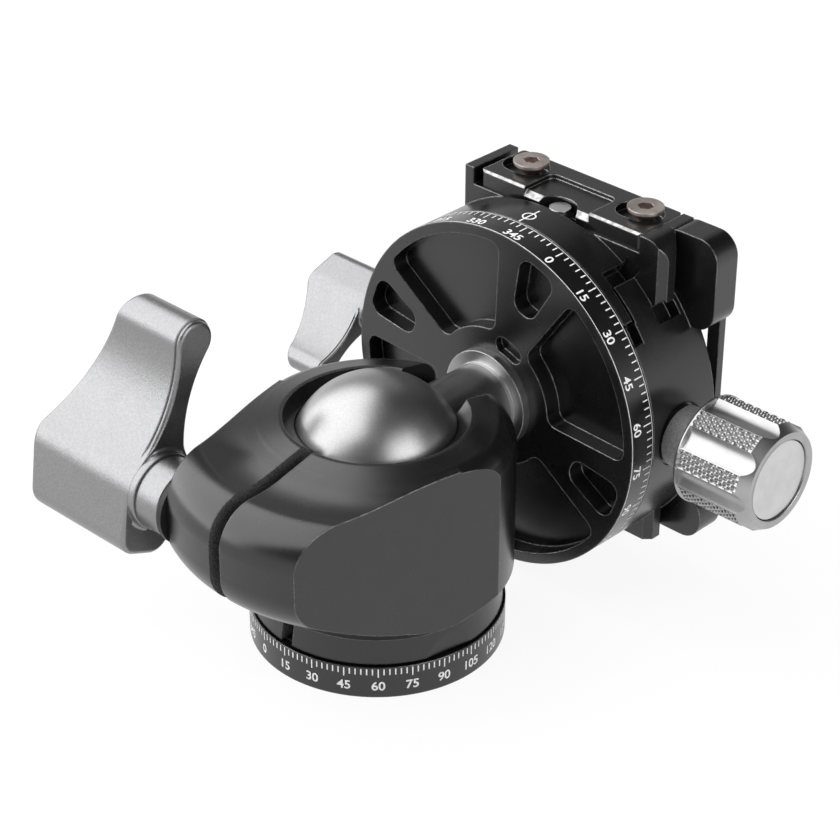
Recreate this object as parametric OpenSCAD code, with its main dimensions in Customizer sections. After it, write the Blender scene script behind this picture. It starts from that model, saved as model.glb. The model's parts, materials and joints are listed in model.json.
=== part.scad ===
// Low-profile ball head: graduated base, split housing, ball with a stem, and a
// second graduated pan that carries a dovetail clamp. Millimetres, +Z up, origin
// at the centre of the base's underside. At rest the stem lies along +X in the notch.

/* [Base] */
// Radius of the graduated base ring
base_r = 22.2; // [21.5:0.1:25]
// Height of the graduated base ring
base_h = 6; // [5:0.1:7]
// Radius of the tripod thread's core
thread_r = 3.97; // [3:0.01:4.5]
// Radius of the threaded boss inside the ring
boss_r = 8; // [6.5:0.1:8.5]
// Radius of the post's waist
post_r = 14.4; // [13.8:0.1:14.8]
// Thickness of the post's flange
post_flange_t = 3.5; // [3:0.1:4]
// Thickness of the slip washer on the ring
glide_t = 0.35; // [0.2:0.05:0.6]
// Thickness of the retaining ring
retainer_ring_t = 1.6; // [1:0.1:2]
// Radius of the circle of base screws
base_screw_circle_r = 11.3; // [11:0.1:11.5]

/* [Housing] */
// Height of the ball's centre above the underside
ball_z = 33.5; // [33:0.1:36]
// Radius of the neck
neck_r = 21.1; // [20.5:0.1:21.3]
// Height of the neck above the slip washer
neck_h = 4.4; // [3.5:0.1:5]
// Height of the flare from neck to core
flare_h = 2.7; // [2:0.1:4]
// Radius of the core
core_r = 23.5; // [22.5:0.1:25]
// Height of the rim above the ball's centre
rim_up = 8.4; // [7.8:0.1:9.2]
// Radius of the rim
rim_r = 16.4; // [16:0.1:17.5]
// Rounding between shoulder and core
shoulder_round = 5; // [3:0.1:6]
// Distance of the lug's nose from the axis
lug_reach = 37; // [36.5:0.1:40]
// Height of the lug's top above the ball's centre
lug_up = 6; // [5.5:0.1:6.5]
// Rounding of the lug's upper edge
lug_round = 7; // [5:0.1:7.5]
// Height of the straight part of the lug's nose
lug_straight = 5; // [4:0.1:6]
// Rounding of the lug's lower edge
lug_low_round = 8; // [6:0.1:9]
// Slope of the lug's underside
lug_slope = 37; // [34:0.5:40]
// Angle between the two side flats and the slit
flat_angle = 11; // [9:0.5:13]
// Width of the slit
slit_w = 2.5; // [1.5:0.1:3]
// Distance of the locking stud behind the lug's nose
lock_inset = 8.5; // [7.5:0.1:9]
// Drop of the locking stud below the ball's centre
lock_drop = 3.5; // [2.5:0.1:5]

/* [Ball and stem] */
// Radius of the ball
ball_r = 15; // [14.6:0.1:15.4]
// Radius of the stem
stem_r = 7; // [6:0.1:7.3]
// Radius of the stem's flange
stem_flange_r = 9.1; // [8:0.1:10]
// Thickness of the stem's flange
stem_flange_t = 1.8; // [1:0.1:2.5]
// Distance from the ball's centre to the stem's flange
stem_len = 26.6; // [26:0.1:30]
// Radius of the stem's spigots
spigot_r = 5; // [4.5:0.1:5.5]
// Length of the stem's spigot in the ball
spigot_len = 9.5; // [8:0.1:10]

/* [Upper pan] */
// Radius of the graduated disc and of the round body
disc_r = 32; // [31.5:0.1:34]
// Thickness of the graduated disc
disc_t = 5.4; // [5:0.1:6.5]
// Depth of the disc's pockets
pocket_depth = 3.2; // [1:0.1:3.5]
// Radius of the hub's waist
hub_waist_r = 17; // [15:0.1:17.5]
// Radius of the hub's flange
hub_r = 20; // [19:0.1:20.5]
// Thickness of the hub's flange
hub_flange_t = 1.7; // [1.2:0.1:2]
// Thickness of the ring that keeps the hub in
pan_retainer_t = 1.1; // [0.8:0.1:1.4]
// Outer radius of that ring
pan_retainer_r = 26; // [25.5:0.1:27]
// Height of the pan lock's axis above the disc
pan_lock_up = 2.8; // [2.7:0.1:3]

/* [Clamp] */
// Thickness of the round body up to the groove's floor
body_t = 14.2; // [14:0.1:16]
// Height of the jaws over the groove's floor
jaw_h = 5.3; // [4.5:0.1:7]
// Half width of the groove at its floor
groove_half = 19; // [18.5:0.1:19.2]
// Inward lean of the dovetail
dovetail = 3.4; // [2.5:0.1:4]
// Distance from the axis to the closed end
clamp_top = 33.5; // [33.2:0.1:36]
// Distance from the axis to the open end
clamp_bottom = 25.2; // [24:0.1:27]
// How far the fixed jaw's ears stand out past the disc
ear_out = 0.2; // [0:0.1:1]
// Distance from the axis to the lip's side
lip_side = 25.7; // [25.5:0.1:27]
// Distance from the axis to the square plate's other side
plate_side = 19.4; // [19.3:0.1:20]
// Set-back of the square plate from the round body's face
plate_setback = 7.9; // [7:0.1:8.5]
// Half length of the relief beside the knob
relief_half = 16.5; // [15:0.1:18]
// Thickness of the closed end's wall
end_wall = 7.5; // [7:0.1:8.5]
// Thickness of the end plate
end_plate_t = 3.2; // [2.5:0.1:3.4]
// Travel of the movable jaw
jaw_travel = 4; // [2:0.1:4.2]
// Height of the jaw screw's axis above the hub
jaw_axis_up = 4.1; // [3.9:0.1:4.2]
// Depth of the movable jaw's body
jaw_depth = 8; // [6:0.1:8.5]

/* [Controls] */
// Radius of the knurled knob
knob_r = 9.75; // [9:0.05:11]
// Length of the knurled knob
knob_len = 15.2; // [12:0.1:18]
// Gap between the round body and the knob
knob_standoff = 6; // [4:0.1:8]
// Number of flutes round the knob
knob_flutes = 8; // [6:1:10]
// Distance from the lug to the large lever's wing
wing_standoff = 6.9; // [6:0.1:9]
// Lean of the large lever from upright
wing_lean = 22; // [0:1:40]
// Lean of the small lever
small_wing_lean = 236; // [230:1:240]
// Size of the small lever against the large one
small_wing_ratio = 0.57; // [0.5:0.01:0.6]
// Radius of the large lever's stud
lock_stud_r = 3; // [2.5:0.05:3.2]
// Radius of the jaw screw
jaw_screw_r = 2.5; // [2:0.05:2.6]
// Radius of the pan lock's screw
pan_screw_r = 1.75; // [1.5:0.05:1.8]

/* [Clearances] */
// Gap between pieces that move past each other
run_gap = 0.3; // [0.2:0.05:0.35]
// Radial clearance of shafts, pins and screws in their bores
fit_gap = 0.05; // [0.02:0.01:0.08]
// Gap between slip faces
slip_gap = 0.1; // [0.05:0.05:0.15]
// Gap between the ball and its seats
seat_gap = 0.25; // [0.2:0.05:0.3]

/* [Hidden] */
$fn = 96;
cut = 0.5;
far = 100;

// Base stack, from the underside up
housing_z = base_h + glide_t + slip_gap;
retainer_up = 1.75;
retainer_z = housing_z + retainer_up;
post_flange_z = retainer_z + retainer_ring_t + slip_gap;
post_top = post_flange_z + post_flange_t;
spring_z = post_top + run_gap;
spring_t = 1.4;
cup_z = spring_z + spring_t;
cup_top = ball_z - 8.5;
bore_r = ball_r + 0.95;
cavity_r = ball_r + seat_gap;
retainer_r = bore_r + 1.05;
base_screw_r = 1.5;
base_screw_head_r = 3;

// Housing outline
neck_top = housing_z + neck_h;
core_z = neck_top + flare_h;
rim_z = ball_z + rim_up;
nose_r = lug_reach - lug_round;
nose_z = ball_z + lug_up - lug_round;
nose_low_r = lug_reach - lug_low_round;
nose_low_z = nose_z - lug_straight;
// The shoulder's slope runs into the lug's level top by a hollow round
lug_top_z = ball_z + lug_up;
kink_share = 0.735;
hollow_share = 0.82;
kink_r = rim_r + kink_share * (nose_r - rim_r);
shoulder_slope = atan2(rim_z - lug_top_z, kink_r - rim_r);
hollow_run = hollow_share * (nose_r - kink_r);
lug_hollow = hollow_run / tan(shoulder_slope / 2);
hollow_start = [kink_r, lug_top_z] + hollow_run * [-cos(shoulder_slope), sin(shoulder_slope)];
hollow_end_r = kink_r + hollow_run;
shoulder_r = core_r - shoulder_round;
shoulder_z = rim_z - (shoulder_round + (shoulder_r - rim_r) * sin(shoulder_slope)) / cos(shoulder_slope);
flat_r = neck_r + 0.15;
// The neck widens to just inside the base ring
foot_r = base_r - 0.45;
lug_start = 2;
lug_sink = 0.06;
// How far a straight run ends inside the round that it joins
tuck = 0.02;
notch_r = stem_r + 0.5;
lock_reach = lug_reach - lock_inset;
lock_x = -lock_reach;
lock_z = ball_z - lock_drop;
lug_side = (flat_r - lock_reach * sin(flat_angle)) / cos(flat_angle);
lock_washer_r = 6.8;
lock_washer_t = 1;
lock_spot = lug_side - 1.2;
insert_r = 4.5;
insert_len = 10;
cup_bore_r = 6.5;
spring_bore_r = 10;

// Upper pan, along the stem from the ball's centre
ball_flat = sqrt(ball_r * ball_r - (stem_r + 0.3) * (stem_r + 0.3));
flange_end = stem_len + stem_flange_t;
disc_end = flange_end + disc_t;
body_face = disc_end + run_gap;
hub_flange_x = body_face + pan_retainer_t + run_gap;
hub_end = hub_flange_x + hub_flange_t;
hub_room = hub_end + run_gap;
bolt_r = 3;
bolt_head_r = 5;
bolt_head_x = disc_end + 0.6;
pan_axis_x = disc_end + pan_lock_up;
pan_spot = disc_r - 0.8;
pan_washer_t = 0.7;
pan_washer_r = 4.2;
pan_shoe_len = (disc_r - hub_r) / 4;
pan_retainer_screw_r = 1.25;
pan_retainer_head_r = 2;
pan_retainer_screw_len = 5 * pan_retainer_t;
pan_retainer_screw_circle_r = (hub_r + pan_retainer_r) / 2 + 0.3;

// Clamp, along the stem
plate_x = body_face + plate_setback;
floor_x = body_face + body_t;
clamp_x = floor_x + jaw_h;
ear_x = floor_x - 0.2;
ear_side = disc_r + ear_out;
lip_corner = 4;
round_end = floor_x + 2;
channel_x = floor_x - 4.6;
channel_half = 9;
channel_y = -17;
tongue_half = channel_half - run_gap;
jaw_axis_x = hub_end + jaw_axis_up;
nut_half = 6.5;
nut_y = -14.7;
nut_len = 8;
nut_room_y = nut_y - 1.7;
nut_screw_r = 1.25;
nut_screw_head_r = 2.3;
nut_screw_len = floor_x - hub_end - 2.8;
nut_screw_z = 4.6;
guide_pin_r = 1.5;
guide_pin_x = floor_x - 2.8;
guide_pin_z = [-18, 12];
guide_pin_y = 5;
jaw_low = -clamp_bottom;
jaw_high = 15;
end_wall_z = clamp_top - end_wall;
plate_seat_z = clamp_top - end_plate_t;
end_plate_y = [-(groove_half + 1.1), plate_side - 3.4];
panel_y = [-8.7, 6];
panel_depth = 0.8;
plate_bevel = 0.35;
panel_bevel = 0.9;
end_screw_x = clamp_x - 4.6;
end_screw_y = [-15.7, 10.2];
end_screw_r = 1.5;
end_screw_head_r = 3.2;
end_head_rim = 0.6;
end_head_top = clamp_top + 1.5;
end_head_z = end_head_top - end_head_rim - (end_screw_head_r - end_screw_r);
rim_cut_depth = 2.5;
stop_pin_r = 1.9;
pin_pocket_half = 4.5;
pin_notch_r = 4.4;
stop_pin_x = plate_x + 1.2;
stop_pin_y = -1.7;
stop_pin_top = clamp_top - 1.5;
knob_y = disc_r + knob_standoff;
knob_spot = disc_r - 0.9;
knob_collar_r = 5.5;
knob_spot_r = knob_collar_r + 0.3;
knob_nose_len = 2;
knob_nose_drop = 1.1;
knob_rim = 0.7;
flute_r = 3.6;
flute_depth = 0.9;
jaw_washer_t = 0.6;
cap_r = 7.1;
cap_t = 1.4;
cap_inset = 0.4;

function unit(v) = v / norm(v);
function outward(p, q) = let (d = unit(q - p)) [d[1], -d[0]];
function polar(r, a) = [r * cos(a), r * sin(a)];

// Rods along the three axes, from one coordinate to another
module rod_x(r, x0, x1) { translate([x0, 0, 0]) rotate([0, 90, 0]) cylinder(h = x1 - x0, r = r); }
module rod_y(r, y0, y1) { translate([0, y0, 0]) rotate([-90, 0, 0]) cylinder(h = y1 - y0, r = r); }
module rod_z(r, z0, z1) { translate([0, 0, z0]) cylinder(h = z1 - z0, r = r); }
module block(low, high) { translate(low) cube(high - low); }
module tube_z(r, bore, z0, z1) {
    difference() {
        rod_z(r, z0, z1);
        rod_z(bore, z0 - cut, z1 + cut);
    }
}
module tube_x(r, bore, x0, x1) {
    difference() {
        rod_x(r, x0, x1);
        rod_x(bore, x0 - cut, x1 + cut);
    }
}
module tube_y(r, bore, y0, y1) {
    difference() {
        rod_y(r, y0, y1);
        rod_y(bore, y0 - cut, y1 + cut);
    }
}

// Frames: the ball's centre, and a point on the stem's axis
module at_ball() { translate([0, 0, ball_z]) children(); }
module at_axis(x, y = 0, z = 0) { translate([x, y, ball_z + z]) children(); }
module at_lock() { translate([lock_x, 0, lock_z]) children(); }

// Flat outlines become plates across X or across Y
module plate_x_yz(x0, x1) { translate([x0, 0, 0]) rotate([90, 0, 90]) linear_extrude(x1 - x0) children(); }
module plate_y_xz(y0, y1) { translate([0, y1, 0]) rotate([90, 0, 0]) linear_extrude(y1 - y0) children(); }

// Convex outline with round corners, given by the centres of its corners
module rounded_outline(centres, c) {
    n = len(centres);
    polygon([
        for (i = [0 : n - 1])
            let (p = centres[i], q = centres[(i + 1) % n], o = c * outward(p, q)) each [p + o, q + o]
    ]);
    for (p = centres) translate(p) circle(c);
}
module rounded_box(low, high, c) {
    rounded_outline([
        [low[0] + c, low[1] + c], [high[0] - c, low[1] + c],
        [high[0] - c, high[1] - c], [low[0] + c, high[1] - c]
    ], c);
}

// Ring sector about the origin, centred on the first axis
module sector(r0, r1, half) {
    intersection() {
        difference() {
            circle(r1);
            circle(r0);
        }
        polygon([[0, 0], polar(2 * r1, -half), polar(2 * r1, half)]);
    }
}

// Countersunk shape pointing along +Z from its flat head, and the screw that fills it
module countersink(r, head_r, len) {
    cylinder(h = head_r - r, r1 = head_r, r2 = r);
    cylinder(h = len, r = r);
}
module countersunk_screw(r, head_r, len, socket_r) {
    difference() {
        countersink(r, head_r, len);
        translate([0, 0, -cut]) cylinder(h = cut + head_r * 0.45, r = socket_r, $fn = 6);
    }
}

// Base

module base_screw_places() {
    for (a = [45 : 90 : 315]) rotate(a) translate([base_screw_circle_r, 0, 0]) children();
}

module base_ring() {
    color("#1d1d1f") difference() {
        rod_z(base_r, 0, base_h);
        rod_z(boss_r + fit_gap, -cut, base_h + cut);
        base_screw_places() {
            rod_z(base_screw_r + fit_gap, -cut, base_h + cut);
            translate([0, 0, -fit_gap])
                cylinder(h = base_screw_head_r, r1 = base_screw_head_r + 2 * fit_gap, r2 = fit_gap);
        }
    }
}

module pan_post() {
    color("#8d8f92") difference() {
        union() {
            rod_z(boss_r, 0, base_h + cut);
            rod_z(post_r, base_h, post_top);
            rod_z(bore_r - run_gap, post_flange_z, post_top);
        }
        rod_z(thread_r, -cut, post_top + cut);
        base_screw_places() rod_z(base_screw_r + fit_gap, base_h - cut, post_top - 0.8);
    }
}

module base_screws() {
    color("#6f6a66") base_screw_places()
        countersunk_screw(base_screw_r, base_screw_head_r, post_top - 1.4, 1);
}

module base_glide_washer() {
    color("#101010") tube_z(neck_r - 0.6, post_r + run_gap, base_h, base_h + glide_t);
}

// Housing

module core_profile() {
    tip = [shoulder_r, shoulder_z] + (shoulder_round - tuck) * [sin(shoulder_slope), cos(shoulder_slope)];
    polygon([
        [0, housing_z], [foot_r, housing_z], [neck_r, neck_top], [core_r, core_z], [core_r, shoulder_z],
        [shoulder_r, shoulder_z], tip, [rim_r, rim_z], [0, rim_z]
    ]);
    translate([shoulder_r, shoulder_z]) circle(shoulder_round);
}

// The lug is turned about the ball's axis, so its nose is round in plan too
module lug_profile() {
    low_tip = [nose_low_r, nose_low_z] + (lug_low_round - tuck) * [sin(lug_slope), -cos(lug_slope)];
    root_r = neck_r - 2;
    root_z = low_tip[1] - (low_tip[0] - root_r) * tan(lug_slope);
    start_z = rim_z - lug_sink;
    difference() {
        polygon([
            [0, root_z], [root_r, root_z], low_tip, [nose_low_r, nose_low_z],
            [lug_reach - tuck, nose_low_z], [lug_reach - tuck, nose_z], [nose_r, nose_z],
            [nose_r, lug_top_z - tuck], [hollow_end_r, lug_top_z - tuck], hollow_start,
            [rim_r, start_z], [0, start_z]
        ]);
        translate([hollow_end_r, lug_top_z + lug_hollow]) circle(lug_hollow + 2 * tuck);
    }
    translate([nose_r, nose_z]) circle(lug_round);
    translate([nose_low_r, nose_low_z]) circle(lug_low_round);
}

module side_flats() {
    for (side = [-1, 1])
        rotate(side * (90 + flat_angle)) translate([flat_r, -far, -far]) cube([far, 2 * far, 2 * far]);
}

module housing_solid() {
    difference() {
        union() {
            rotate_extrude() core_profile();
            intersection() {
                rotate_extrude() lug_profile();
                block([-far, -far, 0], [-lug_start, far, far]);
            }
        }
        side_flats();
    }
}

module drop_notch() {
    at_ball() {
        rod_x(notch_r, 0, far);
        block([0, -notch_r, 0], [far, notch_r, far]);
    }
}

module housing() {
    color("#161617") difference() {
        housing_solid();
        rod_z(bore_r, 0, ball_z - 3);
        rod_z(retainer_r + slip_gap, retainer_z - fit_gap, retainer_z + retainer_ring_t + fit_gap);
        at_ball() sphere(cavity_r);
        translate([0, 0, rim_z - 2]) cylinder(h = 2 + cut, r1 = cavity_r - 1.8, r2 = cavity_r + 0.6 + cut);
        drop_notch();
        block([-far, -slit_w / 2, 0], [-bore_r + 3, slit_w / 2, far]);
        at_lock() {
            rod_y(lock_stud_r + run_gap, 0, far);
            rod_y(lock_washer_r + 0.8, lock_spot, far);
            rod_y(insert_r + fit_gap, -slit_w / 2 - insert_len, 0);
            rod_y(lock_stud_r + run_gap, -slit_w / 2 - insert_len - 2, 0);
        }
    }
}

module retaining_ring() {
    color("#77787a") difference() {
        tube_z(retainer_r, post_r + fit_gap, retainer_z, retainer_z + retainer_ring_t);
        block([-far, -slit_w / 2, 0], [0, slit_w / 2, far]);
    }
}

module ball_cup() {
    color("#d8d4c6") difference() {
        tube_z(bore_r - run_gap, cup_bore_r, cup_z, cup_top);
        at_ball() sphere(cavity_r);
    }
}

module cup_spring() {
    color("#8a8c8f") tube_z(bore_r - 3 * run_gap, spring_bore_r, spring_z, spring_z + spring_t);
}

module lug_insert() {
    color("#8a8c8f") at_lock()
        tube_y(insert_r, lock_stud_r + fit_gap, -slit_w / 2 - insert_len, -slit_w / 2 - 0.3);
}

module ball_lock_washer() {
    color("#e6e4dc") at_lock()
        tube_y(lock_washer_r, lock_stud_r + run_gap, lock_spot, lock_spot + lock_washer_t);
}

// Wing levers: the wing stands along +Z over its axis and runs outward along +Y

wing_hub_r = 6.9;
wing_collar_r = 6.5;
wing_tip_r = 3.9;
wing_tip_up = 25.9;
wing_waist = 2.36;
wing_waist_up = 16.5;
wing_hollow_r = 26.03;
wing_toe_r = 3.6;
wing_toe_side = 1.8;
wing_toe_down = 8.4;
wing_base_len = 25;
wing_tip_len = 15.75;
wing_flat = 2.4;
wing_toe_slant = 0.1;
wing_boss = 1.4;
wing_lip = 1;
wing_lip_inset = 0.3;

// Section of the wing, drawn in by an inset all round
module wing_section(inset) {
    hub = wing_hub_r - inset;
    tip = wing_tip_r - inset;
    toe = wing_toe_r - inset;
    join = wing_tip_up - 1.2;
    difference() {
        polygon([[-hub, 0], [hub, 0], [tip, join], [-tip, join]]);
        for (side = [-1, 1])
            translate([side * (wing_waist + wing_hollow_r), wing_waist_up]) circle(wing_hollow_r + inset);
    }
    circle(hub);
    translate([0, wing_tip_up]) circle(tip);
    // Flanks run straight from the hub to the toe's two rounds
    reach = norm([wing_toe_side, wing_toe_down]);
    turn = atan2(wing_toe_side, wing_toe_down) - asin((hub - toe) / reach);
    flank = [cos(turn), sin(turn)];
    high = (hub - tuck) * flank;
    low = [wing_toe_side, -wing_toe_down] + (toe - tuck) * flank;
    polygon([high, low, [0, -wing_toe_down], [-low[0], low[1]], [-high[0], high[1]], [0, 0]]);
    rounded_outline([
        [-wing_toe_side, -wing_toe_down], [wing_toe_side, -wing_toe_down], [0, -wing_toe_down / 2]
    ], toe);
}

// Side view of the wing: the outer end slants in towards the tip and the toe
module wing_outline() {
    lean = (wing_base_len - wing_tip_len) / (wing_tip_up - wing_flat);
    top = wing_tip_up + 2 * wing_tip_r;
    bottom = -wing_toe_down - 2 * wing_toe_r;
    polygon([
        [0, bottom], [wing_base_len + wing_toe_slant * (bottom + wing_flat), bottom],
        [wing_base_len, -wing_flat], [wing_base_len, wing_flat],
        [wing_base_len - lean * (top - wing_flat), top], [0, top]
    ]);
}

// One lever: collar from y0 to the wing at y1, with a blind bore for its stud.
// The wing's inner end steps in to a narrow lip round a short boss.
module wing_lever(y0, y1, ratio, bore) {
    difference() {
        union() {
            translate([0, y1, 0]) scale(ratio) {
                intersection() {
                    plate_y_xz(wing_lip, wing_base_len + 1) wing_section(0);
                    plate_x_yz(-wing_hub_r - 1, wing_hub_r + 1) wing_outline();
                }
                plate_y_xz(0, wing_lip + 1) wing_section(wing_lip_inset);
            }
            rod_y(wing_collar_r * ratio, y0, y1 + wing_base_len * ratio / 3);
            rod_y((wing_hub_r - 0.05) * ratio, y1 - wing_boss * ratio, y1 + wing_base_len * ratio / 4);
        }
        rod_y(bore, y0 - cut, y1 + wing_base_len * ratio / 2);
    }
}

lock_collar = lock_spot + lock_washer_t + run_gap;
wing_y = lug_side + wing_standoff;

module ball_lock_lever() {
    color("#9b9ca0") at_lock() rotate([0, wing_lean, 0])
        wing_lever(lock_collar, wing_y, 1, lock_stud_r + fit_gap);
}

module ball_lock_stud() {
    color("#7d7f82") at_lock()
        rod_y(lock_stud_r, -slit_w / 2 - insert_len - 1, wing_y + wing_base_len / 2 - 0.3);
}

// Ball and stem

module ball() {
    color("#8f9092") at_ball() difference() {
        sphere(ball_r);
        block([ball_flat, -far, -far], [far, far, far]);
        rod_x(spigot_r + fit_gap, ball_flat - spigot_len - run_gap, far);
    }
}

module stem() {
    color("#b9babc") at_ball() difference() {
        union() {
            rod_x(spigot_r, ball_flat - spigot_len, ball_flat + 2);
            rod_x(stem_r, ball_flat + fit_gap, stem_len + cut);
            rod_x(stem_flange_r, stem_len, flange_end);
            rod_x(spigot_r, stem_len, flange_end + disc_t / 2);
        }
        rod_x(bolt_r + fit_gap, ball_flat + 3, far);
    }
}

// Graduated disc

fan_in = 13;
fan_out = 30;
fan_half = 28.5;
fan_centre = 26.5;
fan_corner = 2;
drop_in = 19.8;
drop_out = 30.2;
drop_centre = 70.5;
drop_corner = 2.3;
drop_half_in = 0.8;
drop_half_out = 3;
slot_mid_r = 11.2;
slot_side = 1.6;
slot_half = 7;

module fan_pocket() {
    low = fan_in + fan_corner;
    high = fan_out - fan_corner;
    low_half = fan_half - asin(fan_corner / low);
    high_half = fan_half - asin(fan_corner / high);
    sector(low, high, fan_half);
    sector(fan_in, low + cut, low_half);
    sector(high - cut, fan_out, high_half);
    for (side = [-1, 1]) {
        translate(polar(low, side * low_half)) circle(fan_corner);
        translate(polar(high, side * high_half)) circle(fan_corner);
    }
}

module drop_pocket() {
    rounded_outline([
        polar(drop_in + drop_corner, -drop_half_in), polar(drop_out - drop_corner, -drop_half_out),
        polar(drop_out - drop_corner, drop_half_out), polar(drop_in + drop_corner, drop_half_in)
    ], drop_corner);
}

// Outlines in the disc's face, with angles counted from -Y towards +Z
module on_disc_face(depth) {
    plate_x_yz(flange_end - cut, flange_end + depth) mirror([1, 0]) children();
}

module graduated_disc() {
    color("#151516") at_ball() difference() {
        rod_x(disc_r, flange_end, disc_end);
        for (quarter = [0 : 90 : 270]) {
            on_disc_face(pocket_depth) rotate(fan_centre + quarter) fan_pocket();
            on_disc_face(pocket_depth) rotate(drop_centre + quarter) drop_pocket();
        }
        for (half_turn = [0, 180])
            on_disc_face(1.5) rotate(drop_centre + half_turn) {
                sector(slot_mid_r - slot_side, slot_mid_r + slot_side, slot_half);
                for (side = [-1, 1]) translate(polar(slot_mid_r, side * slot_half)) circle(slot_side);
            }
        rod_x(spigot_r + fit_gap, 0, flange_end + disc_t / 2 + fit_gap);
        rod_x(bolt_r + fit_gap, 0, far);
    }
}

module pan_hub() {
    color("#8d8f92") at_ball() difference() {
        union() {
            rod_x(hub_waist_r, disc_end, hub_end);
            rod_x(hub_r, hub_flange_x, hub_end);
        }
        rod_x(bolt_r + fit_gap, 0, far);
        rod_x(bolt_head_r + run_gap, bolt_head_x, far);
    }
}

module hub_bolt() {
    color("#6f6a66") at_ball() difference() {
        union() {
            rod_x(bolt_r, ball_flat + 4, bolt_head_x + cut);
            rod_x(bolt_head_r, bolt_head_x, hub_end - 0.2);
        }
        translate([hub_end - 1.7, 0, 0]) rotate([0, 90, 0]) cylinder(h = far, r = 2.6, $fn = 6);
    }
}

// Clamp

module plate_outline_xy() {
    polygon([
        [plate_x, plate_side], [plate_x, -lip_side + 1.3], [plate_x + 1.3, -lip_side],
        [ear_x - 2.9, -lip_side], [ear_x, -lip_side + 2.9], [floor_x, -lip_side + 2.9], [floor_x, plate_side]
    ]);
}

module fixed_jaw_xy() {
    wall = groove_half + 3.5;
    polygon([
        [ear_x, -wall], [ear_x, -groove_half], [clamp_x - dovetail, -groove_half],
        [clamp_x, -groove_half + dovetail], [clamp_x, -wall]
    ]);
}

// Ears of the fixed jaw beside the relief, and the thin web that joins them
module ears() {
    c = 4;
    inner = groove_half + 1;
    plate_x_yz(ear_x, clamp_x) {
        rounded_box([-ear_side, relief_half], [-inner, clamp_top], c);
        rounded_box([-ear_side, -clamp_bottom], [-inner, -relief_half], c);
    }
    block([clamp_x - 1.6, 1.5 - ear_side, -relief_half - c], [clamp_x, 4 - ear_side, relief_half + c]);
}

module end_wall_solid() {
    block([plate_x, -groove_half - 2, end_wall_z], [clamp_x, plate_side, clamp_top]);
}

// Rounds the top corner of the lip, seen along the stem
module lip_corner_cut() {
    y = -lip_side + lip_corner;
    z = clamp_top - lip_corner;
    difference() {
        block([plate_x - cut, -lip_side - cut, z], [far, y, clamp_top + cut]);
        translate([0, y, z]) rod_x(lip_corner, 0, far);
    }
}

module clamp_solid() {
    difference() {
        rod_x(disc_r, body_face, round_end);
        block([floor_x, -groove_half, -far], [far, far, far]);
        block([plate_x, plate_side, -far], [far, far, far]);
    }
    translate([0, 0, -clamp_bottom]) linear_extrude(clamp_bottom + clamp_top) fixed_jaw_xy();
    difference() {
        translate([0, 0, -clamp_bottom]) linear_extrude(clamp_bottom + clamp_top) plate_outline_xy();
        lip_corner_cut();
    }
    ears();
    end_wall_solid();
}

// Relief cuts on the round body's rim, with angles counted from -Y towards +Z
module rim_cut(x0, x1, a0, a1) {
    mid = (a0 + a1) / 2;
    plate_x_yz(x0, x1) mirror([1, 0]) rotate(mid) sector(disc_r - rim_cut_depth, disc_r + 2, (a1 - a0) / 2);
}

module end_screw_places(z) {
    for (y = end_screw_y) translate([end_screw_x, y, z]) children();
}

module jaw_mechanism_room() {
    // Channel for the tongue, and the nut's room below it
    block([channel_x, channel_y, -channel_half], [floor_x + cut, plate_side + cut, channel_half]);
    block([hub_room - cut, nut_room_y, -nut_half - run_gap],
        [channel_x + cut, nut_y + nut_len + jaw_travel + run_gap, nut_half + run_gap]);
    translate([jaw_axis_x, 0, 0]) {
        rod_y(jaw_screw_r + fit_gap, -far, nut_room_y + cut);
        rod_y(knob_spot_r, -far, -knob_spot);
    }
    for (z = guide_pin_z) translate([guide_pin_x, 0, z])
        rod_y(guide_pin_r + fit_gap, guide_pin_y - 1, plate_side + cut);
}

module pan_room() {
    rod_x(hub_r + run_gap, body_face - cut, hub_room);
    rod_x(pan_retainer_r + slip_gap, body_face - cut, body_face + pan_retainer_t + fit_gap);
    rod_x(bolt_head_r + 0.6, hub_room - cut, channel_x + cut);
    pan_retainer_screw_places() rod_x(pan_retainer_screw_r + fit_gap, 0, pan_retainer_screw_len + cut);
    translate([pan_axis_x, 0, 0]) {
        rod_y(pan_screw_r + fit_gap, hub_r, far);
        rod_y(pan_washer_r + 0.4, pan_spot, far);
    }
}

module clamp_body() {
    color("#151516") at_ball() difference() {
        clamp_solid();
        pan_room();
        jaw_mechanism_room();
        // Seat of the end plate, its screw holes and the stop pin's pocket
        block([plate_x - cut, end_plate_y[0] - 0.2, plate_seat_z], [far, plate_side - 2, far]);
        end_screw_places(end_wall_z + 0.8) cylinder(h = end_wall, r = end_screw_r + fit_gap);
        translate([stop_pin_x, stop_pin_y, 0]) rod_z(stop_pin_r + fit_gap, end_wall_z - 6, clamp_top);
        block([plate_x - cut, stop_pin_y - pin_pocket_half, end_wall_z + 1.6],
            [stop_pin_x + 0.6, stop_pin_y + pin_pocket_half, clamp_top]);
        rim_cut(pan_axis_x, plate_x + 0.4, 52.5, 58);
        rim_cut(pan_axis_x - 0.3, pan_axis_x + 0.3, 40, 53);
        rim_cut(body_face - cut, pan_axis_x, 33.5, 41);
        rim_cut(plate_x - 0.4, plate_x + 5.1, 36, 42);
    }
}

module pan_retainer_screw_places() {
    for (a = [45 : 90 : 315]) rotate([a, 0, 0])
        translate([body_face, 0, pan_retainer_screw_circle_r]) children();
}

module pan_retainer() {
    color("#8d8f92") at_ball() difference() {
        tube_x(pan_retainer_r, hub_waist_r + run_gap, body_face, body_face + pan_retainer_t);
        block([0, hub_waist_r, -3], [far, far, 3]);
        pan_retainer_screw_places() rod_x(pan_retainer_screw_r + fit_gap, -cut, far);
        pan_retainer_screw_places() rod_x(pan_retainer_head_r + slip_gap, -cut, pan_retainer_t / 2);
    }
}

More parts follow.
